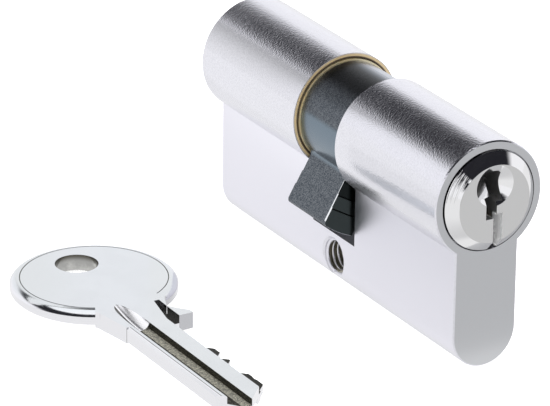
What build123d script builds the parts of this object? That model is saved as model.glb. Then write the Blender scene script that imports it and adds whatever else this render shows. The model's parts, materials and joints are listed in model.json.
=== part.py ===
from build123d import *
from math import cos, radians, sin, sqrt
import os

# Double-sided profile cylinder lock with its key, in millimetres.
# The barrel's axis is Y, Z is up, and the origin is the middle of the barrel.
# The outer half is towards -Y. The inner half is the outer one given half a turn about Z.

# Profile body
body_half = 31.0            # from the middle to either end face
barrel_radius = 8.5
leg_width = 10.0
body_height = 33.0
waist_fillet = 0.5          # where the barrel meets the leg
end_edge = 0.18             # bevel round each end face
slot_half = 5.5             # half the gap that the cam turns in
screw_height = 5.3          # from the leg's lowest line up to the fixing screw
slot_floor_wall = 1.1       # metal left between the fixing screw and the slot
screw_radius = 2.5
screw_mouth = 0.35

# Plugs
plug_radius = 6.5
running_gap = 0.05
head_radius = 7.1
head_gap = 0.22             # dark ring round the head
head_seat = 2.0             # how deep the head sits in the body
head_rim = 0.15             # straight wall of the head outside the body
head_rise = 1.5             # how far the plug's face stands out
face_radius = 5.6
dimple_radius = 2.95        # cone that leads into the keyway
dimple_depth = 2.3
dimple_up = 2.6
journal_radius = 5.5        # the tail that carries the cam
groove_radius = 4.9         # floor of the retaining ring's groove
tail_reach = 1.1            # from the middle to the end of a tail
clutch_slot_reach = 4.9     # from the middle to the end of the clutch's slot
keyway_gap = 0.12
under_slot_reach = 7.4      # the keyway is open below from here to the face
float_gap = 0.03            # at the ends of a part that is trapped along the axis

# Retaining rings
ring_radius = 7.7
ring_length = 0.9
ring_recess = 0.5           # depth of the ring's recess in the slot's wall
ring_recess_gap = 0.15
ring_mouth_width = 6.0

# Cam
cam_radius = 7.5
cam_half = 4.95
cam_bore_gap = 0.05
nose_gap = 0.55             # between the nose and the slot's floor
nose_width = 5.3
nose_turn = 30.0            # degrees from straight down, towards -X
nose_corner = 0.9
nose_root = 1.2
nose_mid_length = 4.65      # of the nose, back from its tip, that is stepped out once
nose_end_length = 2.65      # and twice
nose_step = 0.13            # each step of the nose's end faces
drive_wall_half = 0.9       # half the wall across the cam's bore

# Clutch
clutch_width = 2.4
clutch_span = 10.4
clutch_gap = 0.1
clutch_length = 3.65
clutch_meet = 0.95          # where the two halves touch while the outer half drives
stub_radius = 1.4
stub_gap = 0.2
stub_length = 2.1

# Pins
pin_count = 5
first_pin_depth = 6.7       # from an end face to the first pin
last_pin_reach = 8.3        # from the middle to the last pin
pin_radius = 1.45
chamber_gap = 0.05
chamber_top = 0.6           # end of a plug's chambers, above the barrel's axis
pin_edge = 0.15
pin_tip_radius = 0.55
pin_tip_height = 0.9
shear_gap = 0.12            # between a driver and the plug
cut_gap = 0.05
driver_length = 6.2
driver_waist = 0.25
waist_share = 0.55          # of a driver's length that is waisted
stopper_length = 2.6
stopper_sink = 0.5          # how far a stopper's end lies inside the leg
stopper_gap = 0.01
spring_radius = 1.1         # to the middle of the wire
spring_wire = 0.32
spring_turns = 9
spring_seat = 0.05

# Key blade, a section that stands upright when the key is in a plug
blade_top = 4.3
blade_half = 1.2
ridge_height = 1.0
groove_height = 2.6
plateau_height = 2.7
web_height = 2.1
groove_depth = 1.0
back_groove_depth = 0.95
back_groove_inset = 0.4
web_side = 0.0
blade_bevel = 0.3
key_tip_reach = 4.9         # from the middle to the key's tip when it is in a plug
cut_depths = [0.9, 0.9, 2.1, 0.1, 1.4]
cut_floor = 0.7             # width of a cut's flat floor
tip_back = (2.6, 3.4)       # what the tip's back corner loses, across and along
tip_front = (4.8, 4.9)
shoulder_relief = 0.9       # the blade is this much lower from the stop to the first cut

# Key bow, lying on the level of the leg's lowest line
key_back = -38.8            # X of the blade's back
key_stop = -1.1             # Y of the stop that meets the plug's face
bow_x = -34.5
bow_y = 16.0
bow_radius = 11.9
roll_width = 1.3            # the bow's rounded rim, across and down
roll_drop = 0.8
line_radius = 10.46
line_width = 0.14
line_depth = 0.12
hole_radius = 3.1
hole_from_middle = 5.1
bare_half_angle = 28.0      # sector at the neck with no rounded rim and no line
lug_width = 2.2
lug_reach = 2.1             # how far the stop stands out past the blade's cut edge
lug_length = 3.5
lug_shoulder = 0.9
neck_half = 5.4
neck_blend = 1.0
neck_length = 6.8           # from the stop to where the neck meets the bow
step_length = 5.9           # from the stop to the end of the milled step
step_end_width = 0.8
step_narrowing = 1.3
run_out_before = 0.5        # the groove's run-out starts this far down the blade
run_out_length = 7.3        # from the stop to where the groove has run out

# Sizes that follow from those above
leg_bottom = barrel_radius - body_height
leg_radius = leg_width / 2
screw_drop = -leg_bottom - screw_height
slot_depth = screw_drop - screw_radius - slot_floor_wall
nose_reach = slot_depth - nose_gap
bore_radius = plug_radius + running_gap
head_bore_radius = head_radius + head_gap
face_reach = body_half + head_rise
recess_reach = slot_half + ring_recess
ring_reach = recess_reach - float_gap
chamber_radius = pin_radius + chamber_gap
blade_height = ridge_height + groove_height + plateau_height + web_height
blade_bottom = blade_top - blade_height
pin_base = -sqrt(plug_radius ** 2 - chamber_radius ** 2)
driver_top = -plug_radius - shear_gap
driver_bottom = driver_top - driver_length
stopper_bottom = leg_bottom + stopper_sink
stopper_top = stopper_bottom + stopper_length
clutch_slot_height = clutch_width + 2 * clutch_gap
clutch_slot_span = clutch_span + 2 * clutch_gap
key_thickness = 2 * blade_half
key_top = leg_bottom + key_thickness
blade_length = face_reach - key_tip_reach
key_tip = key_stop - blade_length
first_pin_reach = body_half - first_pin_depth
pin_pitch = (first_pin_reach - last_pin_reach) / (pin_count - 1)
pin_reaches = [first_pin_reach - number * pin_pitch for number in range(pin_count)]
sides = {"outer": -1, "inner": 1}

os.makedirs("parts", exist_ok=True)


def keep(builder, name):
    builder.part.label = name
    export_step(builder.part, f"parts/{name}.step")


def end_plane(side, reach):
    # faces outwards, upright to someone who looks at that end
    return Plane(origin=(0, side * reach, 0), x_dir=(-side, 0, 0), z_dir=(0, side, 0))


def turning_plane(side):
    # X is the radius and Y the distance from the middle
    return Plane(origin=(0, 0, 0), x_dir=(-side, 0, 0), z_dir=(0, 0, -1))


def pin_plane(side, reach):
    # X is the radius and Y the height, for pins
    return Plane(origin=(0, side * reach, 0), x_dir=(1, 0, 0), z_dir=(0, -1, 0))


def outline(points):
    return Polygon(*points, align=None)


def blade_outline():
    groove_top = blade_top - ridge_height
    plateau_top = groove_top - groove_height
    web_top = plateau_top - plateau_height
    back_low = web_top + back_groove_inset
    back_high = plateau_top - back_groove_inset
    outline([
        (-blade_half + blade_bevel, blade_top), (-blade_half, blade_top - blade_bevel),
        (-blade_half, groove_top), (-blade_half + groove_depth, groove_top),
        (-blade_half + groove_depth, plateau_top), (-blade_half, plateau_top),
        (-blade_half, web_top), (web_side, web_top), (web_side, blade_bottom),
        (blade_half, blade_bottom), (blade_half, back_low), (blade_half - back_groove_depth, back_low),
        (blade_half - back_groove_depth, back_high), (blade_half, back_high),
        (blade_half, blade_top - blade_bevel), (blade_half - blade_bevel, blade_top),
    ])


# Profile body: one bar, cut through for the cam, with a bore, pin chambers and a screw hole
with BuildPart() as body:
    with BuildSketch(Plane.XZ.offset(body_half)) as profile:
        Circle(barrel_radius)
        with Locations((0, leg_bottom + leg_radius)):
            Circle(leg_radius)
        with Locations((0, (leg_bottom + leg_radius) / 2)):
            Rectangle(leg_width, -leg_bottom - leg_radius)
        waist_height = -sqrt(barrel_radius ** 2 - leg_radius ** 2)
        waist = [v for v in profile.vertices() if abs(v.Z - waist_height) < waist_fillet]
        fillet(waist, waist_fillet)
    extrude(amount=-2 * body_half)
    ends = body.faces().sort_by(Axis.Y)
    chamfer(ends[0].edges() + ends[-1].edges(), end_edge)

    with BuildSketch(Plane.YZ.offset(-barrel_radius)):
        with Locations((0, (barrel_radius - slot_depth) / 2)):
            Rectangle(2 * slot_half, barrel_radius + slot_depth)
    extrude(amount=2 * barrel_radius, mode=Mode.SUBTRACT)

    for side in sides.values():
        with BuildSketch(turning_plane(side)):
            outline([
                (0, 0), (ring_radius + ring_recess_gap, 0), (ring_radius + ring_recess_gap, recess_reach),
                (bore_radius, recess_reach), (bore_radius, body_half - head_seat),
                (head_bore_radius, body_half - head_seat), (head_bore_radius, body_half), (0, body_half),
            ])
        revolve(axis=Axis.Y, mode=Mode.SUBTRACT)
        with BuildSketch(Plane.XY.offset(leg_bottom)):
            with Locations([(0, side * reach) for reach in pin_reaches]):
                Circle(chamber_radius)
        extrude(amount=-leg_bottom - journal_radius, mode=Mode.SUBTRACT)

    with BuildSketch(Plane.YZ.offset(-leg_radius)):
        with Locations((0, -screw_drop)):
            Circle(screw_radius)
    extrude(amount=leg_width, mode=Mode.SUBTRACT)
    rims = body.edges().filter_by(GeomType.CIRCLE)
    rims = [e for e in rims if abs(e.radius - screw_radius) < screw_mouth]
    screw_rims = [e for e in rims if abs(e.arc_center.Z + screw_drop) < screw_mouth]
    chamfer(screw_rims, screw_mouth)
keep(body, "cylinder_body")

# Cam: a ring with a driven wall across its bore and a stepped nose
with BuildPart() as cam:
    turn = radians(nose_turn)
    nose_x = (cos(turn), 0, -sin(turn))
    cam_end = Plane(origin=(0, -cam_half, 0), x_dir=nose_x, z_dir=(0, -1, 0))
    with BuildSketch(cam_end):
        Circle(cam_radius)
    extrude(amount=-2 * cam_half)
    nose_starts = [0, nose_reach - nose_mid_length, nose_reach - nose_end_length]
    for start, set_back in zip(nose_starts, [2 * nose_step, nose_step, 0]):
        with BuildSketch(cam_end.offset(-set_back)) as nose:
            with Locations((0, -nose_reach / 2)):
                Rectangle(nose_width, nose_reach)
            fillet(nose.vertices().group_by(Axis((0, 0, 0), cam_end.y_dir))[0], nose_corner)
            Circle(nose_reach, mode=Mode.INTERSECT)
            if start:
                Circle(start, mode=Mode.SUBTRACT)
        extrude(amount=-2 * (cam_half - set_back))
    flank_height = sqrt(cam_radius ** 2 - (nose_width / 2) ** 2)
    roots = [e for e in cam.edges().filter_by(Axis.Y)
             if abs(cam_end.to_local_coords(e.center()).Y + flank_height) < float_gap]
    fillet(roots, nose_root)
    with BuildSketch(cam_end):
        Circle(journal_radius + cam_bore_gap)
    extrude(amount=-(cam_half - drive_wall_half), mode=Mode.SUBTRACT)
    with BuildSketch(end_plane(1, cam_half)):
        Circle(journal_radius + cam_bore_gap)
    extrude(amount=-(cam_half - drive_wall_half), mode=Mode.SUBTRACT)
    with BuildSketch(end_plane(1, cam_half)):
        Rectangle(clutch_slot_span, clutch_slot_height)
    extrude(amount=-2 * cam_half, mode=Mode.SUBTRACT)
keep(cam, "cam")

# Plugs, clutch halves and retaining rings
for place, side in sides.items():
    with BuildPart() as plug:
        with BuildSketch(turning_plane(side)):
            outline([
                (0, tail_reach), (journal_radius, tail_reach),
                (journal_radius, ring_reach - ring_length - float_gap),
                (groove_radius, ring_reach - ring_length - float_gap),
                (groove_radius, ring_reach + float_gap), (plug_radius, ring_reach + float_gap),
                (plug_radius, body_half - head_seat + float_gap),
                (head_radius, body_half - head_seat + float_gap), (head_radius, body_half + head_rim),
                (face_radius, face_reach), (0, face_reach),
            ])
        revolve(axis=Axis.Y)
        with BuildSketch(end_plane(side, face_reach)):
            blade_outline()
            offset(amount=keyway_gap, kind=Kind.INTERSECTION)
        extrude(amount=-(face_reach - tail_reach), mode=Mode.SUBTRACT)
        with BuildSketch(end_plane(side, face_reach)):
            with Locations(((web_side + blade_half) / 2, (blade_bottom - head_radius) / 2)):
                Rectangle(blade_half - web_side + 2 * keyway_gap, head_radius + blade_bottom)
        extrude(amount=-(face_reach - under_slot_reach), mode=Mode.SUBTRACT)
        with BuildSketch(Plane.XY.offset(chamber_top)):
            with Locations([(0, side * reach) for reach in pin_reaches]):
                Circle(chamber_radius)
        extrude(amount=-chamber_top - head_radius, mode=Mode.SUBTRACT)
        with BuildSketch(end_plane(side, tail_reach)):
            Rectangle(2 * plug_radius, clutch_slot_height)
        extrude(amount=clutch_slot_reach - tail_reach, mode=Mode.SUBTRACT)
        with BuildSketch(end_plane(side, tail_reach)):
            Circle(stub_radius + stub_gap)
        extrude(amount=under_slot_reach - tail_reach, mode=Mode.SUBTRACT)
        with BuildSketch(turning_plane(side).offset(-dimple_up)):
            outline([(0, face_reach - dimple_depth), (dimple_radius, face_reach), (0, face_reach)])
        revolve(axis=Axis((0, 0, dimple_up), (0, 1, 0)), mode=Mode.SUBTRACT)
    keep(plug, f"{place}_plug")

    # the outer half reaches through the cam's wall, the inner half is pushed out of it
    bar_start = -clutch_meet if place == "outer" else clutch_meet + running_gap
    with BuildPart() as clutch:
        with BuildSketch(end_plane(side, bar_start)):
            Rectangle(clutch_span, clutch_width)
        extrude(amount=clutch_length)
        with BuildSketch(end_plane(side, bar_start + clutch_length)):
            Circle(stub_radius)
        extrude(amount=stub_length)
    keep(clutch, f"{place}_clutch")

    with BuildPart() as ring:
        with BuildSketch(end_plane(side, ring_reach)):
            Circle(ring_radius)
            Circle(groove_radius + running_gap, mode=Mode.SUBTRACT)
            with Locations((0, -ring_radius)):
                Rectangle(ring_mouth_width, 2 * ring_radius, mode=Mode.SUBTRACT)
        extrude(amount=-ring_length)
    keep(ring, f"{place}_retaining_ring")


# Pin stacks: key pin, driver pin, spring and stopper, from the keyway down
def spring_point(quarter, reach_y, low, rise):
    angle = radians(90 * quarter)
    return Vector(spring_radius * cos(angle), reach_y + spring_radius * sin(angle), low + rise * quarter)


def spring_heading(quarter, rise):
    angle = radians(90 * quarter)
    along = spring_radius * radians(90)
    return Vector(-sin(angle) * along, cos(angle) * along, rise).normalized()


def make_spring(reach_y):
    # each quarter turn is two arcs that run smoothly into each other
    low = stopper_top + spring_seat + spring_wire / 2
    high = driver_bottom - spring_seat - spring_wire / 2
    quarters = 4 * spring_turns
    rise = (high - low) / quarters
    with BuildPart() as spring:
        with BuildLine() as wire:
            for quarter in range(quarters):
                start = spring_point(quarter, reach_y, low, rise)
                end = spring_point(quarter + 1, reach_y, low, rise)
                leaving = spring_heading(quarter, rise)
                arriving = spring_heading(quarter + 1, rise)
                chord = end - start
                a = 2 * (1 - leaving.dot(arriving))
                b = 2 * chord.dot(leaving + arriving)
                arm = (sqrt(b * b + 4 * a * chord.dot(chord)) - b) / (2 * a)
                joint = (start + leaving * arm + end - arriving * arm) * 0.5
                first = TangentArc(start, joint, tangent=leaving)
                TangentArc(joint, end, tangent=first % 1)
        with BuildSketch(Plane(origin=wire.line @ 0, z_dir=wire.line % 0)):
            Circle(spring_wire / 2)
        sweep()
    return spring


for place, side in sides.items():
    for number, reach in enumerate(pin_reaches, start=1):
        stack = Axis((0, side * reach, 0), (0, 0, 1))
        pin_tip = blade_bottom + cut_depths[number - 1] - cut_gap
        with BuildPart() as key_pin:
            with BuildSketch(pin_plane(side, reach)):
                outline([
                    (0, pin_base), (pin_radius - pin_edge, pin_base), (pin_radius, pin_base + pin_edge),
                    (pin_radius, pin_tip - pin_tip_height), (pin_tip_radius, pin_tip), (0, pin_tip),
                ])
            revolve(axis=stack)
        keep(key_pin, f"{place}_key_pin_{number}")

        driver_middle = (driver_top + driver_bottom) / 2
        waist_half = waist_share * driver_length / 2
        waist_radius = pin_radius - driver_waist
        with BuildPart() as driver:
            with BuildSketch(pin_plane(side, reach)):
                outline([
                    (0, driver_bottom), (pin_radius - pin_edge, driver_bottom),
                    (pin_radius, driver_bottom + pin_edge),
                    (pin_radius, driver_middle - waist_half),
                    (waist_radius, driver_middle - waist_half + driver_waist),
                    (waist_radius, driver_middle + waist_half - driver_waist),
                    (pin_radius, driver_middle + waist_half), (pin_radius, driver_top - pin_edge),
                    (pin_radius - pin_edge, driver_top), (0, driver_top),
                ])
            revolve(axis=stack)
        keep(driver, f"{place}_driver_pin_{number}")

        keep(make_spring(side * reach), f"{place}_spring_{number}")

        with BuildPart() as stopper:
            with BuildSketch(pin_plane(side, reach)):
                wall = chamber_radius - stopper_gap
                outline([
                    (0, stopper_bottom), (wall - pin_edge, stopper_bottom),
                    (wall, stopper_bottom + pin_edge), (wall, stopper_top - pin_edge),
                    (wall - pin_edge, stopper_top), (0, stopper_top),
                ])
            revolve(axis=stack)
        keep(stopper, f"{place}_stopper_{number}")

# Key: the blade's section is the one that the keyways are cut to
blade_plane = Plane(
    origin=(key_back + blade_top, key_stop, leg_bottom + blade_half), x_dir=(0, 0, -1), z_dir=(0, 1, 0))
blade_edge = key_back + blade_height
plateau_edge = blade_edge - web_height
lug_out = blade_edge + lug_reach
lug_in = lug_out - lug_width
bow_axis = Axis((bow_x, bow_y, 0), (0, 0, 1))
neck_y = key_stop + neck_length
with BuildPart() as key:
    with BuildSketch(Plane.XY.offset(leg_bottom)) as plan:
        with Locations((bow_x, bow_y)):
            Circle(bow_radius)
        outline([
            (key_back, key_stop), (bow_x - neck_half, neck_y), (bow_x, bow_y), (bow_x + neck_half, neck_y),
            (lug_in, key_stop + lug_length), (lug_out, key_stop + lug_shoulder), (lug_out, key_stop),
        ])
        blends = [v for v in plan.vertices()
                  if abs(v.Y - neck_y) < neck_blend and abs(v.X - bow_x) > neck_half - neck_blend]
        fillet(blends, neck_blend)
    extrude(amount=key_thickness)
    with BuildSketch(blade_plane):
        blade_outline()
    extrude(amount=-blade_length)

    # the milled step beside the stop, and the groove's run-out into the neck
    with BuildSketch(Plane.XY.offset(leg_bottom + blade_half - web_side)):
        outline([
            (plateau_edge, key_stop - float_gap), (plateau_edge + step_narrowing, key_stop + step_length),
            (plateau_edge + step_narrowing + step_end_width, key_stop + step_length),
            (lug_in, key_stop + lug_length - lug_shoulder), (lug_in, key_stop - float_gap),
        ])
    extrude(amount=key_thickness, mode=Mode.SUBTRACT)
    groove_middle = key_back + ridge_height + groove_height / 2
    groove_floor = key_top - groove_depth
    run_out = run_out_before + run_out_length
    disc_radius = (run_out ** 2 + groove_depth ** 2) / (2 * groove_depth)
    disc_y = key_stop - run_out_before
    with BuildSketch(Plane.XZ.offset(-disc_y)):
        with BuildLine():
            near = (groove_middle - groove_height / 2, key_top)
            far = (groove_middle + groove_height / 2, key_top)
            ThreePointArc(near, (groove_middle, groove_floor), far)
            Line(far, near)
        make_face()
    revolve(axis=Axis((0, disc_y, groove_floor + disc_radius), (1, 0, 0)), mode=Mode.SUBTRACT)

    # cuts for the pins, and the tip
    for reach, depth in zip(pin_reaches, cut_depths):
        cut_y = key_stop - (face_reach - reach)
        with BuildSketch(Plane.XY.offset(leg_bottom)):
            outline([
                (blade_edge - depth, cut_y - cut_floor / 2), (blade_edge - depth, cut_y + cut_floor / 2),
                (blade_edge + float_gap, cut_y + cut_floor / 2 + depth + float_gap),
                (blade_edge + float_gap, cut_y - cut_floor / 2 - depth - float_gap),
            ])
        extrude(amount=key_thickness, mode=Mode.SUBTRACT)
    first_cut = key_stop - (face_reach - first_pin_reach)
    with BuildSketch(Plane.XY.offset(leg_bottom)):
        outline([
            (blade_edge - shoulder_relief, key_stop), (blade_edge - shoulder_relief, first_cut),
            (blade_edge + float_gap, first_cut), (blade_edge + float_gap, key_stop),
        ])
        outline([(key_back, key_tip), (key_back + tip_back[0], key_tip), (key_back, key_tip + tip_back[1])])
        outline([
            (blade_edge, key_tip), (blade_edge - tip_front[0], key_tip),
            (blade_edge, key_tip + tip_front[1]),
        ])
    extrude(amount=key_thickness, mode=Mode.SUBTRACT)

    # ring hole, and the rounded rim and engraved line of the bow
    with BuildSketch(Plane.XY.offset(leg_bottom)):
        with Locations((bow_x, bow_y + hole_from_middle)):
            Circle(hole_radius)
    extrude(amount=key_thickness, mode=Mode.SUBTRACT)
    start = radians(bare_half_angle - 90)
    sector_plane = Plane(
        origin=(bow_x, bow_y, leg_bottom), x_dir=(cos(start), sin(start), 0),
        z_dir=(sin(start), -cos(start), 0))
    roll_in = bow_radius - roll_width
    past = bow_radius + roll_width
    with BuildSketch(sector_plane):
        for flat, heading in ((key_thickness, -1), (0, 1)):
            with BuildLine():
                low = flat + heading * roll_drop
                TangentArc((roll_in, flat), (bow_radius, low), tangent=(1, 0))
                Polyline((bow_radius, low), (past, low), (past, flat), (roll_in, flat))
            make_face()
        with Locations((line_radius, key_thickness)):
            Rectangle(line_width, 2 * line_depth)
    revolve(axis=bow_axis, revolution_arc=360 - 2 * bare_half_angle, mode=Mode.SUBTRACT)
keep(key, "key")
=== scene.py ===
import json
from math import cos, pi, sin, tau

import bpy
from mathutils import Matrix, Vector

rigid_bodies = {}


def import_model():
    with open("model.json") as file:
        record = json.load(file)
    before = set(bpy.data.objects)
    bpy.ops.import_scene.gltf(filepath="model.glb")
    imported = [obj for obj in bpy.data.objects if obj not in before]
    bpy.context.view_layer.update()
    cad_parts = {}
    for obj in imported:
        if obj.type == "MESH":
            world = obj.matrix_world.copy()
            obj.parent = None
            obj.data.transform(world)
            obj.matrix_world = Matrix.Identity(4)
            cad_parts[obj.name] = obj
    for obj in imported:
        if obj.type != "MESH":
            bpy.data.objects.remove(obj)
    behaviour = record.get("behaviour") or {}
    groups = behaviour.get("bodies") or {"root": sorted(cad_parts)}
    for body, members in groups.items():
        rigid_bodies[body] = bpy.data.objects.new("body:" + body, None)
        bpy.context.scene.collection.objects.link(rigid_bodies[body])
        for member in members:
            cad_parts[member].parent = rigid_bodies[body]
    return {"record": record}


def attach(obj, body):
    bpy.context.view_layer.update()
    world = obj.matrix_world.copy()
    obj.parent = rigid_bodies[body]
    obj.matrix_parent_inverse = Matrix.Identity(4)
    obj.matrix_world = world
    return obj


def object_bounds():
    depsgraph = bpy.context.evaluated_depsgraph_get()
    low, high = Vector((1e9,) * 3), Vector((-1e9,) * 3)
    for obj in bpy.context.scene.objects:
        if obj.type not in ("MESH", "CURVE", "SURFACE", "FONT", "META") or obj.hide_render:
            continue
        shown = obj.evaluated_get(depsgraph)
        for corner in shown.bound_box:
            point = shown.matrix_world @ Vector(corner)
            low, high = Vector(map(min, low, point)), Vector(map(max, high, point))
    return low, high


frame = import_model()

# A profile cylinder lock and its key, in metres. The barrel lies along Y and Z is up.
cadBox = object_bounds()
mm = 0.001
degree = pi / 180
hair = 0.01 * mm    # the softness of a painted edge is a few of these
print("frame loaded, box", [round(n, 4) for corner in cadBox for n in corner])

view = bpy.context.scene.view_settings
view.view_transform = "Standard"


# camera, at the photo's angle
cameraSetup = {
    "place": (-0.316136, -0.497543, 0.243093),
    "yaw": 31.213 * degree,        # to the right of straight ahead
    "pitch": -23.430 * degree,
    "roll": 0.745 * degree,
    "lens": 299.55,
    "sensor": 36.0,
    "clip": (0.01, 20.0),
}


def makeCamera(setup):
    data = bpy.data.cameras.new("camera")
    data.lens = setup["lens"]
    data.sensor_width = setup["sensor"]
    data.sensor_fit = "HORIZONTAL"
    data.clip_start, data.clip_end = setup["clip"]
    camera = bpy.data.objects.new("camera", data)
    camera.matrix_world = (
        Matrix.Translation(setup["place"])
        @ Matrix.Rotation(-setup["yaw"], 4, "Z")
        @ Matrix.Rotation(pi / 2 + setup["pitch"], 4, "X")
        @ Matrix.Rotation(setup["roll"], 4, "Z")
    )
    bpy.context.scene.collection.objects.link(camera)
    bpy.context.scene.camera = camera


makeCamera(cameraSetup)
print("camera placed")


# small helpers for node trees
def addNode(tree, kind, **settings):
    node = tree.nodes.new(kind)
    for name, value in settings.items():
        setattr(node, name, value)
    return node


def feed(tree, socket, value):
    # value is a plain number, a colour or another node's output
    if isinstance(value, bpy.types.NodeSocket):
        tree.links.new(value, socket)
    elif value is not None:
        socket.default_value = value


def addFed(tree, kind, inputs, **settings):
    # a node with its inputs filled in by name, and its first output
    node = addNode(tree, kind, **settings)
    for name, value in inputs.items():
        feed(tree, node.inputs[name], value)
    return node.outputs[0]


def calc(tree, operation, a, b=None, c=None, clamp=False):
    node = addNode(tree, "ShaderNodeMath", operation=operation, use_clamp=clamp)
    for socket, value in zip(node.inputs, (a, b, c)):
        feed(tree, socket, value)
    return node.outputs[0]


def vectorCalc(tree, operation, a, b=None):
    node = addNode(tree, "ShaderNodeVectorMath", operation=operation)
    for socket, value in zip(node.inputs, (a, b)):
        feed(tree, socket, value)
    return node.outputs["Value" if operation in ("LENGTH", "DOT_PRODUCT") else "Vector"]


def unsigned(tree, value):
    return calc(tree, "ABSOLUTE", value)


def allOf(tree, first, *others):
    # masks multiplied, so that each has to hold
    for mask in others:
        first = calc(tree, "MULTIPLY", first, mask)
    return first


def without(tree, share):
    return calc(tree, "SUBTRACT", 1.0, share)


def ramp(tree, value, low, high, out=(0.0, 1.0)):
    return addFed(tree, "ShaderNodeMapRange", {
        "Value": value, "From Min": low, "From Max": high, "To Min": out[0], "To Max": out[1],
    }, interpolation_type="SMOOTHSTEP")


def fall(tree, value, low, high):
    return ramp(tree, value, low, high, (1.0, 0.0))


def mixValue(tree, share, a, b):
    return ramp(tree, share, 0.0, 1.0, (a, b))


def between(tree, value, low, high, soft=2 * hair):
    up = ramp(tree, value, low - soft, low + soft)
    down = fall(tree, value, high - soft, high + soft)
    return allOf(tree, up, down)


def near(tree, value, middle, half, soft=2 * hair):
    return between(tree, value, middle - half, middle + half, soft)


def colour(value):
    # a plain red, green and blue, or another node's output
    return (*value, 1.0) if isinstance(value, tuple) else value


def mixColour(tree, share, a, b, blend="MIX"):
    # the colour sockets are numbers 6 and 7 of this node, and its third output
    node = addNode(tree, "ShaderNodeMix", data_type="RGBA", blend_type=blend)
    for number, value in ((0, share), (6, colour(a)), (7, colour(b))):
        feed(tree, node.inputs[number], value)
    return node.outputs[2]


def coordinates(tree, name):
    return addNode(tree, "ShaderNodeTexCoord").outputs[name]


def split(tree, vector):
    parts = addNode(tree, "ShaderNodeSeparateXYZ")
    feed(tree, parts.inputs[0], vector)
    return parts.outputs


def place(tree):
    return split(tree, coordinates(tree, "Object"))


def fromAxis(tree):
    # the distance from the barrel's axis
    across = vectorCalc(tree, "MULTIPLY", coordinates(tree, "Object"), (1.0, 0.0, 1.0))
    return vectorCalc(tree, "LENGTH", across)


def facing(tree):
    # the surface's own direction, in the object's axes
    return split(tree, coordinates(tree, "Normal"))


def newPaper(name):
    # a material with nothing in its tree
    material = bpy.data.materials.new(name)
    material.use_nodes = True
    material.node_tree.nodes.clear()
    return material, material.node_tree


def glowing(tree, tone=(1.0, 1.0, 1.0), strength=1.0):
    return addFed(tree, "ShaderNodeEmission", {"Color": colour(tone), "Strength": strength})


def mixShader(tree, share, a, b):
    node = addNode(tree, "ShaderNodeMixShader")
    for socket, value in zip(node.inputs, (share, a, b)):
        feed(tree, socket, value)
    return node.outputs[0]


def show(tree, shader):
    feed(tree, addNode(tree, "ShaderNodeOutputMaterial").inputs["Surface"], shader)


# light: a pale room up to a slanting line, a dark belt above it and a pale ceiling light
studio = {
    "paleSide": (1.10, 1.10, 1.12),
    "darkAbove": (0.02, 0.02, 0.025),
    "paleLine": (0.395, 0.15, -0.10),    # height of the line, and how it rises towards +Y and -Y
    "lineSoft": 0.075,
    "ceiling": (1.25, 1.25, 1.27),
    "ceilingFrom": (0.83, 0.88),
    "windowX": (0.40, 0.45),             # a light place in the belt, towards +X and +Y
    "windowY": (0.24, 0.29),
    "plain": (0.85, 0.85, 0.85),         # what lights pale and painted things
    "backdrop": (1.0, 1.0, 1.0),
}
lamps = {
    # name: place, looks at, width, height, watts
    "top": ((0.10, 0.30, 0.90), (0.0, 0.0, 0.0), 0.50, 0.35, 6.0),
    "left": ((-0.90, -0.10, 0.55), (0.0, 0.0, -0.01), 0.45, 0.60, 5.0),
}


def lightRoom(setup):
    world = bpy.data.worlds.new("room")
    bpy.context.scene.world = world
    world.use_nodes = True
    tree = world.node_tree
    tree.nodes.clear()
    x, y, z = split(tree, coordinates(tree, "Generated"))
    height, *leans = setup["paleLine"]
    rises = [calc(tree, "MULTIPLY", y, lean) for lean in leans]
    line = calc(tree, "ADD", calc(tree, "MAXIMUM", *rises), height)
    above = ramp(tree, calc(tree, "SUBTRACT", z, line), -setup["lineSoft"], setup["lineSoft"])
    window = allOf(tree, ramp(tree, x, *setup["windowX"]), ramp(tree, y, *setup["windowY"]))
    above = allOf(tree, above, without(tree, window))
    seen = mixColour(tree, above, setup["paleSide"], setup["darkAbove"])
    seen = mixColour(tree, ramp(tree, z, *setup["ceilingFrom"]), seen, setup["ceiling"])
    rays = addNode(tree, "ShaderNodeLightPath").outputs
    shown = mixColour(tree, rays["Is Glossy Ray"], setup["plain"], seen)
    shown = mixColour(tree, rays["Is Camera Ray"], shown, setup["backdrop"])
    glow = addFed(tree, "ShaderNodeBackground", {"Color": shown})
    feed(tree, addNode(tree, "ShaderNodeOutputWorld").inputs["Surface"], glow)


def hangLamp(name, stand, aim, width, height, watts):
    data = bpy.data.lights.new(name, "AREA")
    data.shape = "RECTANGLE"
    data.size = width
    data.size_y = height
    data.energy = watts
    lamp = bpy.data.objects.new(name, data)
    lamp.location = stand
    lamp.rotation_euler = (Vector(aim) - Vector(stand)).to_track_quat("-Z", "Y").to_euler()
    lamp.visible_glossy = False    # the room alone shows in the metal
    bpy.context.scene.collection.objects.link(lamp)


lightRoom(studio)
for lampName, lampValues in lamps.items():
    hangLamp(lampName, *lampValues)
print("lamps hung")


# floor, level with the leg's lowest line and the key's underside
floorSetup = {
    "half": 4.0,
    "paper": (0.9, 0.9, 0.9),
    "ownGlow": 0.55,                     # for the camera alone
    "mirrored": (1.0, 1.0, 1.0),         # how the metal sees it
    "mirroredShadow": (0.76, 0.76, 0.765),
    "shadowX": (-35 * mm, -5 * mm),        # a painted shadow that the metal mirrors, in front of the lock's end
    "shadowY": (-37 * mm, -34 * mm),
}


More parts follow.
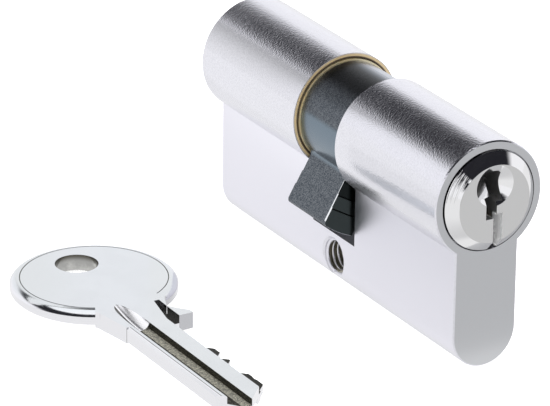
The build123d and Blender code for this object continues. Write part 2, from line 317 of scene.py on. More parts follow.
def layFloor(setup):
    half = setup["half"]
    level = cadBox[0].z
    mesh = bpy.data.meshes.new("floor")
    mesh.from_pydata(
        [(-half, -half, level), (half, -half, level), (half, half, level), (-half, half, level)], [],
        [(0, 1, 2, 3)])
    floor = bpy.data.objects.new("floor", mesh)
    bpy.context.scene.collection.objects.link(floor)
    material, tree = newPaper("floor paper")
    paper = addFed(tree, "ShaderNodeBsdfDiffuse", {"Color": colour(setup["paper"])})
    lit = addNode(tree, "ShaderNodeAddShader")
    feed(tree, lit.inputs[0], paper)
    feed(tree, lit.inputs[1], glowing(tree, strength=setup["ownGlow"]))
    x, y, z = place(tree)
    # a painted shadow pool in front of the lock's end, seen by reflections alone
    shadowPool = allOf(tree, ramp(tree, x, *setup["shadowX"]), fall(tree, y, *setup["shadowY"]))
    mirrored = glowing(tree, mixColour(tree, shadowPool, setup["mirrored"], setup["mirroredShadow"]))
    rays = addNode(tree, "ShaderNodeLightPath").outputs
    direct = mixShader(tree, rays["Is Camera Ray"], paper, lit.outputs[0])
    show(tree, mixShader(tree, rays["Is Glossy Ray"], direct, mirrored))
    mesh.materials.append(material)


layFloor(floorSetup)
print("floor laid")


# pale cards that the metal mirrors in place of the lock and the dark belt, seen by reflections alone
cards = {
    "beside the lock": {
        "ends": ((-12 * mm, -4 * mm), (-12 * mm, 40 * mm)),
        "heights": (-14 * mm, 2 * mm),
        "levels": (1.08, 1.08),
    },
    "behind the bow": {
        "ends": ((-70 * mm, 33 * mm), (-33.5 * mm, 33 * mm)),
        "heights": (-6 * mm, 12 * mm),
        "levels": (1.08, 1.08),
    },
    "left of the far half": {
        "ends": ((-30 * mm, 24 * mm), (-30 * mm, 100 * mm)),
        "heights": (-24 * mm, 39 * mm),
        "levels": (1.04, 0.50),
        "levelFrom": (-4 * mm, 41 * mm),
        "fadeIn": (24 * mm, 46 * mm),
    },
}


def standCard(name, setup):
    mesh = bpy.data.meshes.new(name)
    heights = setup["heights"]
    mesh.from_pydata([(x, y, z) for x, y in setup["ends"] for z in heights], [], [(0, 1, 3, 2)])
    card = bpy.data.objects.new("card " + name, mesh)
    bpy.context.scene.collection.objects.link(card)
    material, tree = newPaper("card paper")
    x, y, z = place(tree)
    shown = glowing(tree, strength=ramp(tree, z, *setup.get("levelFrom", heights), setup["levels"]))
    if "fadeIn" in setup:
        clear = addNode(tree, "ShaderNodeBsdfTransparent").outputs[0]
        shown = mixShader(tree, ramp(tree, y, *setup["fadeIn"]), clear, shown)
    show(tree, shown)
    mesh.materials.append(material)
    for ray in ("camera", "diffuse", "transmission", "shadow", "volume_scatter"):
        setattr(card, "visible_" + ray, False)


for cardName, cardSetup in cards.items():
    standCard(cardName, cardSetup)
print("cards stood")


# shared effects, each a node group built once
def newGroup(name, inputs, outputs):
    tree = bpy.data.node_groups.new(name, "ShaderNodeTree")
    for label, kind, value in inputs:
        socket = tree.interface.new_socket(label, in_out="INPUT", socket_type=kind)
        socket.default_value = value
    for label in outputs:
        tree.interface.new_socket(label, in_out="OUTPUT", socket_type="NodeSocketFloat")
    return tree, addNode(tree, "NodeGroupInput").outputs, addNode(tree, "NodeGroupOutput").inputs


def noise(tree, where, scale, detail, rough=0.5, along="Vector"):
    # along is "W" for a noise that varies with one number alone
    return addFed(tree, "ShaderNodeTexNoise", {
        along: where, "Scale": scale, "Detail": detail, "Roughness": rough,
    }, noise_dimensions="1D" if along == "W" else "3D")


def buildSpeckle(coarseScale=0.3, coarseShare=0.15, coarseDetail=1.0, spread=4.0):
    # the fine even grain of a blasted or sintered surface, with a coarser one under it
    tree, given, made = newGroup(
        "speckle",
        [("Grain", "NodeSocketFloat", 0.2 * mm), ("Contrast", "NodeSocketFloat", 0.5),
         ("Detail", "NodeSocketFloat", 2.0)],
        ["Height", "Tone"])
    where = coordinates(tree, "Object")
    scale = calc(tree, "DIVIDE", 1.0, given["Grain"])
    fine = noise(tree, where, scale, given["Detail"])
    coarse = noise(tree, where, calc(tree, "MULTIPLY", scale, coarseScale), coarseDetail)
    both = calc(tree, "MULTIPLY_ADD", coarse, coarseShare, calc(tree, "MULTIPLY", fine, 1 - coarseShare))
    feed(tree, made["Height"], both)
    spread = calc(tree, "MULTIPLY", given["Contrast"], spread)
    tone = calc(tree, "MULTIPLY", calc(tree, "SUBTRACT", both, 0.5), spread)
    feed(tree, made["Tone"], calc(tree, "ADD", tone, 0.5, clamp=True))
    return tree


def buildToolMarks(scale=0.7, detail=3.0):
    # fine parallel lines that a cutter leaves, along one direction
    tree, given, made = newGroup(
        "tool marks",
        [("Across", "NodeSocketVector", (1.0, 0.0, 0.0)), ("Pitch", "NodeSocketFloat", 0.12 * mm),
         ("Unevenness", "NodeSocketFloat", 0.6)],
        ["Height"])
    where = coordinates(tree, "Object")
    steps = calc(tree, "DIVIDE", vectorCalc(tree, "DOT_PRODUCT", where, given["Across"]), given["Pitch"])
    wave = calc(tree, "MULTIPLY_ADD", calc(tree, "SINE", calc(tree, "MULTIPLY", steps, tau)), 0.5, 0.5)
    mixed = addNode(tree, "ShaderNodeMix", data_type="FLOAT")
    feed(tree, mixed.inputs[0], given["Unevenness"])
    feed(tree, mixed.inputs[2], wave)
    feed(tree, mixed.inputs[3], noise(tree, steps, scale, detail, along="W"))
    feed(tree, made["Height"], mixed.outputs[0])
    return tree


def buildTurnedMarks(scale=0.6, detail=3.0):
    # fine rings about the barrel's axis, as turning leaves them
    tree, given, made = newGroup("turned marks", [("Pitch", "NodeSocketFloat", 0.1 * mm)], ["Height"])
    steps = calc(tree, "DIVIDE", fromAxis(tree), given["Pitch"])
    feed(tree, made["Height"], noise(tree, steps, scale, detail, along="W"))
    return tree


def buildSmudge(detail=4.0, rough=0.6, toneFrom=(0.35, 0.65)):
    # broad uneven sheen that handling leaves on polished metal
    tree, given, made = newGroup("smudge", [("Size", "NodeSocketFloat", 4 * mm)], ["Tone"])
    where = coordinates(tree, "Object")
    cloud = noise(tree, where, calc(tree, "DIVIDE", 1.0, given["Size"]), detail, rough)
    feed(tree, made["Tone"], ramp(tree, cloud, *toneFrom))
    return tree


groups = {
    "speckle": buildSpeckle(),
    "tool marks": buildToolMarks(),
    "turned marks": buildTurnedMarks(),
    "smudge": buildSmudge(),
}
print("shared effects built")


def useGroup(tree, name, **values):
    node = addNode(tree, "ShaderNodeGroup", node_tree=groups[name])
    for label, value in values.items():
        feed(tree, node.inputs[label], value)
    return node.outputs


def newMetal(name):
    # a bare metallic shader, with its tree
    material = bpy.data.materials.new(name)
    material.use_nodes = True
    tree = material.node_tree
    shader = tree.nodes["Principled BSDF"]
    shader.inputs["Metallic"].default_value = 1.0
    return material, tree, shader.inputs


def bump(tree, height, strength, depth, under=None):
    return addFed(tree, "ShaderNodeBump", {
        "Height": height, "Strength": strength, "Distance": depth, "Normal": under})


# satin nickel on the body, with bare brass where the slot was cut near the barrel's skin
platedLook = {
    "nickel": (0.77, 0.77, 0.82), "dull": (0.70, 0.70, 0.75), "rough": 0.17,
    "grain": 0.25 * mm, "grainContrast": 0.5, "grainDetail": 0.3, "grainRough": 0.04,
    "bump": 0.22, "bumpDepth": 0.08 * mm, "smudge": 7 * mm, "smudgeRough": 0.02,
    # under the barrel, and the leg's flat sides
    "lowRough": 0.32, "lowFrom": (-5 * mm, -2 * mm),
    "leg": (0.815, 0.81, 0.875), "legRough": 0.40, "legFacing": (0.8, 0.98), "legTop": (-6 * mm, -5 * mm),
    # the milled ends
    "end": (0.60, 0.61, 0.63), "endRough": 0.36, "endFacing": (0.9, 0.97), "endFrom": (20 * mm, 21 * mm),
    # the slot for the cam: painted shade on its inside, and the brass ring on its walls with a dark line of
    # painted shade outside it and a painted highlight at its outer edge
    "slotHalf": 5.5 * mm, "slotFloor": -15.6 * mm, "slotShade": (0.06, 0.065, 0.07),
    "ring": (4.9 * mm, 8.45 * mm), "ringWidth": 0.5 * mm, "ringRough": 0.75,
    "brass": (1.0, 0.84, 0.52), "brassGapShade": (0.12, 0.07, 0.02), "brassEdgeHighlight": (0.95, 0.88, 0.86),
    "lineTo": (7.97 * mm, 8.07 * mm), "highlightFrom": (8.32 * mm, 8.40 * mm),
    # the screw hole's wall, with painted shade between the thread's turns
    "screwDrop": -19.2 * mm, "valley": (2.17 * mm, 2.53 * mm), "valleyTo": (4.35 * mm, 4.45 * mm),
    "valleyShade": (0.42, 0.40, 0.34),
}


def makePlated(look):
    material, tree, inputs = newMetal("plated body")
    x, y, z = place(tree)
    radius = fromAxis(tree)
    facingX, facingY, facingZ = facing(tree)
    reach = unsigned(tree, y)
    grain = useGroup(tree, "speckle", Grain=look["grain"], Contrast=look["grainContrast"],
                     Detail=look["grainDetail"])
    smudge = useGroup(tree, "smudge", Size=look["smudge"])

    onLeg = allOf(tree, ramp(tree, unsigned(tree, facingX), *look["legFacing"]),
                  fall(tree, z, *look["legTop"]))
    onEnd = allOf(tree, ramp(tree, unsigned(tree, facingY), *look["endFacing"]),
                  ramp(tree, reach, *look["endFrom"]))
    slotHalf = look["slotHalf"]
    onRing = allOf(tree, between(tree, reach, slotHalf - hair, slotHalf + look["ringWidth"] + hair),
                   between(tree, radius, *look["ring"]))
    # painted shade inside the slot
    inSlot = allOf(tree, fall(tree, reach, slotHalf - 3 * hair, slotHalf - 2 * hair),
                   ramp(tree, z, look["slotFloor"] - 2 * hair, look["slotFloor"] - hair))
    belowScrew = calc(tree, "SUBTRACT", z, look["screwDrop"])
    fromScrew = calc(tree, "SQRT", calc(
        tree, "MULTIPLY_ADD", y, y, calc(tree, "MULTIPLY", belowScrew, belowScrew)))
    # painted shade in the valleys between the thread's turns
    inValley = allOf(tree, between(tree, fromScrew, *look["valley"]),
                     fall(tree, unsigned(tree, x), *look["valleyTo"]))

    # painted shade: dark brown in the recess by the ring; painted highlight: pale at the outer edge
    brass = mixColour(tree, ramp(tree, radius, *look["lineTo"]), look["brassGapShade"], look["brass"])
    brass = mixColour(tree, ramp(tree, radius, *look["highlightFrom"]), brass, look["brassEdgeHighlight"])
    base = mixColour(tree, grain["Tone"], look["dull"], look["nickel"])
    for mask, tone in ((onLeg, look["leg"]), (onRing, brass), (onEnd, look["end"]),
                       (inSlot, look["slotShade"]), (inValley, look["valleyShade"])):
        base = mixColour(tree, mask, base, tone)
    feed(tree, inputs["Base Color"], base)

    rough = ramp(tree, z, *look["lowFrom"], (look["lowRough"], look["rough"]))
    rough = calc(tree, "MULTIPLY_ADD", smudge["Tone"], look["smudgeRough"], rough)
    unevenness = calc(tree, "SUBTRACT", grain["Tone"], 0.5)
    rough = calc(tree, "MULTIPLY_ADD", unevenness, look["grainRough"], rough)
    for mask, level in ((onLeg, look["legRough"]), (onRing, look["ringRough"]), (onEnd, look["endRough"])):
        rough = mixValue(tree, mask, rough, level)
    feed(tree, inputs["Roughness"], rough)
    height = calc(tree, "MULTIPLY", grain["Height"], without(tree, onLeg))
    feed(tree, inputs["Normal"], bump(tree, height, look["bump"], look["bumpDepth"]))
    return material


# polished nickel on the plugs, with a plainer finish on the walls of the keyway
polishedLook = {
    "nickel": (0.78, 0.78, 0.79), "rough": 0.07, "smudge": 3 * mm, "smudgeRough": 0.03,
    "marks": 0.09 * mm, "bump": 0.1, "bumpDepth": 0.004 * mm,
    "face": (0.71, 0.71, 0.71), "faceRough": 0.16, "faceAt": 32.5 * mm,
    # the keyway's walls, and the pale one that shows at the front, made white as painted light in the deep
    # slot
    "wall": (0.62, 0.62, 0.62), "wallRough": 0.45, "wallFacing": (0.1, 0.2), "wallX": (1.38 * mm, 1.4 * mm),
    "pale": (1.0, 1.0, 1.0), "paleRough": 0.9,
    "paleX": (-0.2 * mm, -0.15 * mm), "paleZ": (-1.52 * mm, -1.5 * mm), "paleFrom": (29.9 * mm, 30.2 * mm),
    # scratches on the bevel, at the left
    "scratchTurn": (-78 * degree, -44 * degree), "scratchSoft": 0.12, "bevel": (5.6 * mm, 7.0 * mm),
    "scratchPitch": 0.22 * mm, "scratchBump": 1.0, "scratchDepth": 0.3 * mm,
}


def makePolished(look):
    material, tree, inputs = newMetal("polished plug")
    x, y, z = place(tree)
    facingX, facingY, facingZ = facing(tree)
    reach = unsigned(tree, y)
    marks = useGroup(tree, "turned marks", Pitch=look["marks"])
    smudge = useGroup(tree, "smudge", Size=look["smudge"])
    onFace = ramp(tree, reach, look["faceAt"] - 2 * hair, look["faceAt"] - hair)
    onWall = allOf(tree, fall(tree, unsigned(tree, facingY), *look["wallFacing"]),
                   fall(tree, unsigned(tree, x), *look["wallX"]))
    # painted light: the lower keyway wall near the front is made white so it reads lit
    paintedLitWall = allOf(tree, onWall, fall(tree, z, *look["paleZ"]), ramp(tree, x, *look["paleX"]),
                   ramp(tree, reach, *look["paleFrom"]))

    base = mixColour(tree, onFace, look["nickel"], look["face"])
    rough = mixValue(tree, onFace, look["rough"], look["faceRough"])
    rough = calc(tree, "MULTIPLY_ADD", smudge["Tone"], look["smudgeRough"], rough)
    for mask, name in ((onWall, "wall"), (paintedLitWall, "pale")):
        base = mixColour(tree, mask, base, look[name])
        rough = mixValue(tree, mask, rough, look[name + "Rough"])
    feed(tree, inputs["Base Color"], base)
    feed(tree, inputs["Roughness"], rough)

    around = calc(tree, "ARCTAN2", x, z)
    scratched = allOf(tree, between(tree, around, *look["scratchTurn"], look["scratchSoft"]),
                      between(tree, fromAxis(tree), *look["bevel"]))
    scratches = useGroup(tree, "turned marks", Pitch=look["scratchPitch"])
    under = bump(tree, calc(tree, "MULTIPLY", scratched, scratches["Height"]),
                 look["scratchBump"], look["scratchDepth"])
    feed(tree, inputs["Normal"], bump(tree, marks["Height"], look["bump"], look["bumpDepth"], under))
    return material


# the key's bright nickel, with an engraved line round the bow and a raw milled groove; painted shade in the
# lines, the groove and the web, and painted light on the sides and the run-out
keyLook = {
    "nickel": (0.70, 0.725, 0.75), "side": (0.80, 0.80, 0.83), "rough": 0.12, "upFacing": (0.5, 0.9),
    "smudge": 5 * mm, "smudgeRough": 0.04, "marks": 0.10 * mm, "marksUneven": 0.8,
    "bump": 0.1, "bumpDepth": 0.003 * mm, "top": -22.1 * mm, "stop": -1.1 * mm,
    # the bow's engraved line with painted shade in it, and the hole's wall with a shade under its upper
    # edge
    "bow": (-34.5 * mm, 16.0 * mm), "line": 10.46 * mm, "lineHalf": 0.08 * mm,
    "lineShade": (0.06, 0.06, 0.055), "lineDepth": (0.04 * mm, 0.01 * mm),
    "hole": (-34.5 * mm, 21.1 * mm), "holeRadius": 3.1 * mm, "holeFacing": (0.3, 0.5),
    "holeWall": (0.62, 0.62, 0.60), "holeDull": (0.36, 0.36, 0.35), "holeShade": (0.10, 0.095, 0.08),
    "shadeDepth": (1.1 * mm, 0.1 * mm),
    # the groove's streaked floor, with painted shade on its near strip, and its wall in painted shade
    "grooveX": (-37.8 * mm, -35.2 * mm), "grooveFloor": -23.1 * mm, "floorFrom": (-36.57 * mm, -36.43 * mm),
    "floor": (1.0, 0.98, 0.86), "floorRough": 0.85, "cut": (0.03, 0.028, 0.022), "cutRough": 0.5,
    "cutMarks": 0.16 * mm, "cutUneven": 0.9, "markTone": (0.3, 0.7), "markLevel": (0.75, 1.0),
    "rawGrain": 0.2 * mm, "rawContrast": 1.6, "rawDetail": 1.0, "paleWallShade": (0.13, 0.125, 0.10),
    "floorTone": (0.1, 0.9), "floorLevel": (0.6, 1.0), "wallTone": (0.4, 0.9),
    # the web beside it, painted near-black as shade
    "webShade": (0.045, 0.044, 0.036), "webX": -32.5 * mm, "webY": (4.9 * mm, 5.0 * mm),
    "webZ": (-24.8 * mm, -22.4 * mm), "webSoft": 0.05 * mm,
    # the groove's run-out, with a painted highlight where it faces +X and painted shade where it faces -X
    "scoopHighlight": (0.97, 0.97, 1.0), "scoopRough": 0.25, "scoopTo": 6.9 * mm, "scoopFacing": (0.12, 0.3),
    # painted shade lines along the blade's back and at its stop, and the stop's front
    "ridgeLine": -38.3 * mm, "ridgeHalf": 0.06 * mm, "stopHalf": 0.05 * mm, "lineShare": 0.8,
    "turnedAway": (-0.9, -0.5), "lug": (0.52, 0.525, 0.55), "lugFrom": -30.5 * mm,
}


def distanceTo(tree, x, y, point):
    acrossX, acrossY = (calc(tree, "SUBTRACT", a, b) for a, b in zip((x, y), point))
    return calc(tree, "SQRT", calc(
        tree, "MULTIPLY_ADD", acrossX, acrossX, calc(tree, "MULTIPLY", acrossY, acrossY)))


def makeKeyNickel(look):
    material, tree, inputs = newMetal("key nickel")
    x, y, z = place(tree)
    facingX, facingY, facingZ = facing(tree)
    lengthways = (0.0, 1.0, 0.0)
    tiny = 2 * hair
    top, stop = look["top"], look["stop"]
    marks = useGroup(tree, "tool marks", Across=lengthways, Pitch=look["marks"],
                     Unevenness=look["marksUneven"])
    milled = useGroup(tree, "tool marks", Across=lengthways, Pitch=look["cutMarks"],
                      Unevenness=look["cutUneven"])
    smudge = useGroup(tree, "smudge", Size=look["smudge"])
    upward = ramp(tree, facingZ, *look["upFacing"])
    # painted light: faces not turned up are painted lighter than the top
    base = mixColour(tree, upward, look["side"], look["nickel"])

    # painted shade in the engraved line round the bow
    line = allOf(tree, near(tree, distanceTo(tree, x, y, look["bow"]), look["line"], look["lineHalf"]),
                 fall(tree, z, *(top - depth for depth in look["lineDepth"])))
    base = mixColour(tree, line, base, look["lineShade"])
    inHole = fall(tree, distanceTo(tree, x, y, look["hole"]), look["holeRadius"] + tiny,
                  look["holeRadius"] + 2 * tiny)
    inHole = allOf(tree, inHole, fall(tree, unsigned(tree, facingZ), *look["holeFacing"]))
    shaded = ramp(tree, z, *(top - depth for depth in look["shadeDepth"]))
    mottled = mixColour(tree, smudge["Tone"], look["holeDull"], look["holeWall"])
    base = mixColour(tree, inHole, base, mixColour(tree, shaded, mottled, look["holeShade"]))

    # the groove and the web beside it are cut after plating; the groove's walls, the near strip of its
    # floor and the web carry painted shade, and the floor's tool marks are darker streaks
    onBlade = fall(tree, y, stop - tiny, stop + tiny)
    low = fall(tree, z, top - 2 * tiny, top - tiny)
    nearX, farX = look["grooveX"]
    inGroove = allOf(tree, between(tree, x, nearX + hair, farX + tiny), onBlade, low,
                     ramp(tree, z, look["grooveFloor"] - 2 * tiny, look["grooveFloor"] - tiny))
    # the floor's near strip, short of floorFrom, takes the wall's painted shade
    onFloor = allOf(tree, upward, ramp(tree, x, *look["floorFrom"]))
    coarse = useGroup(tree, "speckle", Grain=look["rawGrain"], Contrast=look["rawContrast"],
                      Detail=look["rawDetail"])["Tone"]
    streaks = allOf(tree, ramp(tree, milled["Height"], *look["markTone"], look["markLevel"]),
                    ramp(tree, coarse, *look["floorTone"], look["floorLevel"]))
    floorTone = mixColour(tree, streaks, look["cut"], look["floor"])
    wallTone = mixColour(tree, ramp(tree, coarse, *look["wallTone"]), look["cut"], look["paleWallShade"])
    base = mixColour(tree, inGroove, base, mixColour(tree, onFloor, wallTone, floorTone))
    # painted shade on the web's upward faces
    onWeb = allOf(tree, ramp(tree, x, look["webX"] - 2 * tiny, look["webX"] - tiny),
                  between(tree, z, *look["webZ"], look["webSoft"]), fall(tree, y, *look["webY"]), upward)
    base = mixColour(tree, onWeb, base, look["webShade"])

    inScoop = allOf(tree, between(tree, x, nearX, farX), between(tree, y, stop, look["scoopTo"]), low)
    # painted highlight where the run-out faces +X, painted shade where it faces -X
    scoopLightAndShade = mixColour(tree, ramp(tree, facingX, *look["scoopFacing"]), look["scoopHighlight"], look["cut"])
    base = mixColour(tree, inScoop, base, scoopLightAndShade)

    onBack = allOf(tree, upward, onBlade)
    ridge = look["ridgeLine"]
    # painted light: the back beyond the ridge line takes the sides' lighter colour
    base = mixColour(tree, allOf(tree, onBack, fall(tree, x, ridge - tiny, ridge)), base, look["side"])
    # painted shade lines along the back and at the stop
    ridgeLine = allOf(tree, onBack, near(tree, x, ridge, look["ridgeHalf"]))
    stopLine = allOf(tree, fall(tree, facingX, *look["turnedAway"]), near(tree, y, stop, look["stopHalf"]))
    line = calc(tree, "MULTIPLY", calc(tree, "MAXIMUM", ridgeLine, stopLine), look["lineShare"])
    base = mixColour(tree, line, base, look["lineShade"])
    onLug = allOf(tree, fall(tree, facingY, *look["turnedAway"]),
                  ramp(tree, x, look["lugFrom"] - tiny, look["lugFrom"]),
                  ramp(tree, y, stop - 3 * tiny, stop - 2 * tiny))
    base = mixColour(tree, onLug, base, look["lug"])
    feed(tree, inputs["Base Color"], base)

    raw = calc(tree, "MAXIMUM", inGroove, onWeb)
    rough = mixValue(tree, smudge["Tone"], look["rough"], look["rough"] + look["smudgeRough"])
    for mask, level in ((raw, look["cutRough"]), (allOf(tree, inGroove, onFloor), look["floorRough"]),
                        (inScoop, look["scoopRough"])):
        rough = mixValue(tree, mask, rough, level)
    feed(tree, inputs["Roughness"], rough)
    height = mixColour(tree, raw, marks["Height"], milled["Height"])
    feed(tree, inputs["Normal"], bump(tree, height, look["bump"], look["bumpDepth"]))
    return material


# sintered steel: speckled where it lies dark, plain blue-grey low on the ring, painted light and shade
# round the ring, painted shade on the nose's ends and a painted highlight on its edges
camLook = {
    "pale": (0.16, 0.175, 0.195), "dark": (0.055, 0.065, 0.08), "speckledRough": 0.32,
    "grain": 0.15 * mm, "grainContrast": 2.2, "bump": 0.5, "bumpDepth": 0.02 * mm,
    # round the ring, counted from its top towards -X; painted light on the far side and painted shade near
    # the top
    "ringSkin": (7.52 * mm, 8.1 * mm), "plain": (0.165, 0.21, 0.255), "plainRough": 0.26,
    "plainFrom": (73 * degree, 81 * degree), "far": (0.50, 0.53, 0.60), "farTo": (-22 * degree, 4 * degree),
    "shadeTo": (26 * degree, 42 * degree), "shadeLevel": 0.25,
    # the nose's stepped end in painted shade, darker towards the ring, with a painted shade line at each
    # step, and a painted highlight on its edge
    "noseTurn": 30 * degree, "noseHalf": 2.65 * mm, "noseReach": 15.05 * mm,
    "noseFrom": (8.3 * mm, 8.5 * mm),
    "end": (0.045, 0.055, 0.053), "endFacing": (0.7, 0.9), "innerEndShade": 0.35,
    "steps": (10.3 * mm, 12.3 * mm), "stepHalf": 0.09 * mm,
    "noseHighlight": (0.85, 0.87, 0.90), "noseHighlightFrom": (-4.64 * mm, -4.59 * mm),
}


def makeCamSteel(look):
    material, tree, inputs = newMetal("cam steel")
    x, y, z = place(tree)
    radius = fromAxis(tree)
    facingX, facingY, facingZ = facing(tree)
    grain = useGroup(tree, "speckle", Grain=look["grain"], Contrast=look["grainContrast"])

    onRing = fall(tree, radius, *look["ringSkin"])
    fromTop = calc(tree, "ARCTAN2", calc(tree, "MULTIPLY", x, -1.0), z)
    # painted light: the ring's far side is pale
    far = fall(tree, fromTop, *look["farTo"])
    plain = allOf(tree, onRing, calc(tree, "MAXIMUM", ramp(tree, fromTop, *look["plainFrom"]), far))
    # painted shade near the ring's top
    shade = ramp(tree, fromTop, *look["shadeTo"], (look["shadeLevel"], 1.0))
    speckled = mixColour(tree, grain["Tone"], look["dark"], look["pale"])
    speckled = mixColour(tree, 1.0, speckled, mixValue(tree, onRing, 1.0, shade), "MULTIPLY")
    base = mixColour(tree, plain, speckled, mixColour(tree, far, look["plain"], look["far"]))

    turn = look["noseTurn"]
    down = calc(tree, "ADD", calc(tree, "MULTIPLY", x, -sin(turn)), calc(tree, "MULTIPLY", z, -cos(turn)))
    aside = calc(tree, "ADD", calc(tree, "MULTIPLY", x, cos(turn)), calc(tree, "MULTIPLY", z, -sin(turn)))
    # painted shade: the end faces near-black, darker towards the ring, with black lines at the steps
    firstStep = look["steps"][0]
    tone = ramp(tree, down, firstStep - 2 * hair, firstStep, (look["innerEndShade"], 1.0))
    for step in look["steps"]:
        tone = allOf(tree, tone, without(tree, near(tree, down, step, look["stepHalf"])))
    onEnd = ramp(tree, unsigned(tree, facingY), *look["endFacing"])
    base = mixColour(tree, onEnd, base, mixColour(tree, tone, (0.0, 0.0, 0.0), look["end"]))

    # painted highlight along the nose's flanks and tip
    fromFlank = unsigned(tree, calc(tree, "SUBTRACT", unsigned(tree, aside), look["noseHalf"]))
    onFlank = fall(tree, fromFlank, 0.0, 2 * hair)
    onTip = ramp(tree, radius, look["noseReach"] - 3 * hair, look["noseReach"] - 2 * hair)
    noseHighlight = allOf(tree, fall(tree, y, *look["noseHighlightFrom"]), calc(tree, "MAXIMUM", onFlank, onTip),
                 ramp(tree, radius, *look["noseFrom"]))
    feed(tree, inputs["Base Color"], mixColour(tree, noseHighlight, base, look["noseHighlight"]))
    feed(tree, inputs["Roughness"], mixValue(tree, plain, look["speckledRough"], look["plainRough"]))
    height = calc(tree, "MULTIPLY", grain["Height"], without(tree, plain))
    feed(tree, inputs["Normal"], bump(tree, height, look["bump"], look["bumpDepth"]))
    return material


# plain turned or drawn metals
turnedFinish = {"smudge": 2 * mm, "smudgeRough": 0.06, "bumpDepth": 0.004 * mm}
turnedLooks = {
    # slot: colour, duller colour, roughness, pitch of the marks, bump
    "ring_brass": ((1.0, 0.92, 0.68), (0.95, 0.82, 0.52), 0.5, 0.10 * mm, 0.2),
    "pin_brass": ((0.76, 0.60, 0.34), (0.60, 0.45, 0.24), 0.25, 0.08 * mm, 0.25),
    "pin_steel": ((0.66, 0.67, 0.68), (0.50, 0.51, 0.53), 0.24, 0.08 * mm, 0.25),
    "spring_steel": ((0.58, 0.58, 0.60), (0.42, 0.42, 0.44), 0.28, 0.05 * mm, 0.15),
    "clutch_steel": ((0.46, 0.47, 0.49), (0.34, 0.35, 0.37), 0.32, 0.12 * mm, 0.25),
}


def makeTurned(name, base, dull, rough, pitch, bumpStrength):
    material, tree, inputs = newMetal(name)
    marks = useGroup(tree, "turned marks", Pitch=pitch)
    smudge = useGroup(tree, "smudge", Size=turnedFinish["smudge"])
    feed(tree, inputs["Base Color"], mixColour(tree, smudge["Tone"], dull, base))
    feed(tree, inputs["Roughness"],
         mixValue(tree, smudge["Tone"], rough + turnedFinish["smudgeRough"], rough))
    feed(tree, inputs["Normal"], bump(tree, marks["Height"], bumpStrength, turnedFinish["bumpDepth"]))
    return material


finishes = {
    "plated_body": makePlated(platedLook),
    "polished_plug": makePolished(polishedLook),
    "key_nickel": makeKeyNickel(keyLook),
    "cam_steel": makeCamSteel(camLook),
}
for slotName, turnedValues in turnedLooks.items():
    finishes[slotName] = makeTurned(slotName.replace("_", " "), *turnedValues)
for piece in frame["record"]["subparts"]:
    for materialSlot in bpy.data.objects[piece["node"]].material_slots:
        materialSlot.material = finishes[piece["material_slot"]]


# the fixing screw's thread, a ridge that winds along the hole
threadSizes = {
    "wallRadius": 2.5 * mm, "ridgeHeight": 0.42 * mm, "rootWidth": 0.66 * mm, "crestWidth": 0.12 * mm,
    "pitch": 0.8 * mm, "length": 9.2 * mm, "start": -4.65 * mm, "drop": 19.2 * mm,
    "sink": 0.03 * mm,    # how far the ridge's root lies inside the wall
    "steps": 48,
}


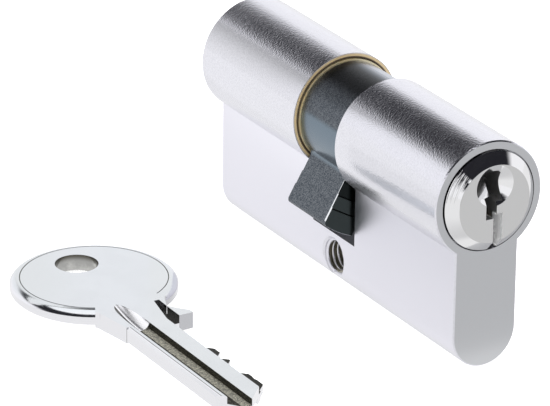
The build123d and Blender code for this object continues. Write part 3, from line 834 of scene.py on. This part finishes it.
def buildThreadTree():
    tree = bpy.data.node_groups.new("thread ridge", "GeometryNodeTree")
    kinds = {"Steps": "NodeSocketInt", "Finish": "NodeSocketMaterial"}
    for label in ("Wall Radius", "Ridge Height", "Turns", "Length", "Root Width", "Crest Width", "Sink",
                  "Steps", "Finish"):
        tree.interface.new_socket(label, in_out="INPUT", socket_type=kinds.get(label, "NodeSocketFloat"))
    tree.interface.new_socket("Geometry", in_out="OUTPUT", socket_type="NodeSocketGeometry")
    given = addNode(tree, "NodeGroupInput").outputs
    middle = calc(tree, "MULTIPLY_ADD", calc(tree, "SUBTRACT", given["Sink"], given["Ridge Height"]), 0.5,
                  given["Wall Radius"])
    spiral = addFed(tree, "GeometryNodeCurveSpiral", {
        "Resolution": given["Steps"], "Rotations": given["Turns"], "Start Radius": middle,
        "End Radius": middle, "Height": given["Length"], "Reverse": True})    # right-handed
    upright = addFed(tree, "GeometryNodeSetCurveNormal", {"Curve": spiral}, mode="Z_UP")
    section = addFed(tree, "GeometryNodeCurvePrimitiveQuadrilateral", {
        "Height": calc(tree, "ADD", given["Ridge Height"], given["Sink"]),
        "Bottom Width": given["Root Width"], "Top Width": given["Crest Width"], "Offset": 0.0,
    }, mode="TRAPEZOID")
    turned = addFed(tree, "GeometryNodeTransform", {"Geometry": section, "Rotation": (0.0, 0.0, pi / 2)})
    swept = addFed(tree, "GeometryNodeCurveToMesh", {
        "Curve": upright, "Profile Curve": turned, "Fill Caps": True})
    laid = addFed(tree, "GeometryNodeTransform", {"Geometry": swept, "Rotation": (0.0, pi / 2, 0.0)})
    whole = addFed(tree, "GeometryNodeRealizeInstances", {"Geometry": laid})
    painted = addFed(tree, "GeometryNodeSetMaterial", {"Geometry": whole, "Material": given["Finish"]})
    feed(tree, addNode(tree, "NodeGroupOutput").inputs["Geometry"], painted)
    return tree


def growFromNodes(name, tree, values, offset, body):
    # runs a geometry tree once and keeps its result as a plain mesh with its place in it
    carrier = bpy.data.objects.new(name + " maker", bpy.data.meshes.new(name + " maker"))
    bpy.context.scene.collection.objects.link(carrier)
    modifier = carrier.modifiers.new("nodes", "NODES")
    modifier.node_group = tree
    for item in tree.interface.items_tree:
        if item.item_type == "SOCKET" and item.in_out == "INPUT" and item.name in values:
            modifier[item.identifier] = values[item.name]
    graph = bpy.context.evaluated_depsgraph_get()
    mesh = bpy.data.meshes.new_from_object(carrier.evaluated_get(graph), depsgraph=graph)
    carrier.modifiers.remove(modifier)
    bpy.data.objects.remove(carrier)
    mesh.name = name
    mesh.transform(Matrix.Translation(offset))
    made = bpy.data.objects.new(name, mesh)
    bpy.context.scene.collection.objects.link(made)
    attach(made, body)
    return made


def cutThread(sizes):
    values = {
        "Wall Radius": sizes["wallRadius"], "Ridge Height": sizes["ridgeHeight"],
        "Turns": sizes["length"] / sizes["pitch"], "Length": sizes["length"],
        "Root Width": sizes["rootWidth"], "Crest Width": sizes["crestWidth"], "Sink": sizes["sink"],
        "Steps": sizes["steps"], "Finish": finishes["plated_body"],
    }
    return growFromNodes("screw_thread", buildThreadTree(), values,
                         (sizes["start"], 0.0, -sizes["drop"]), "profile_body")


thread = cutThread(threadSizes)
print("thread cut,", len(thread.data.polygons), "faces")
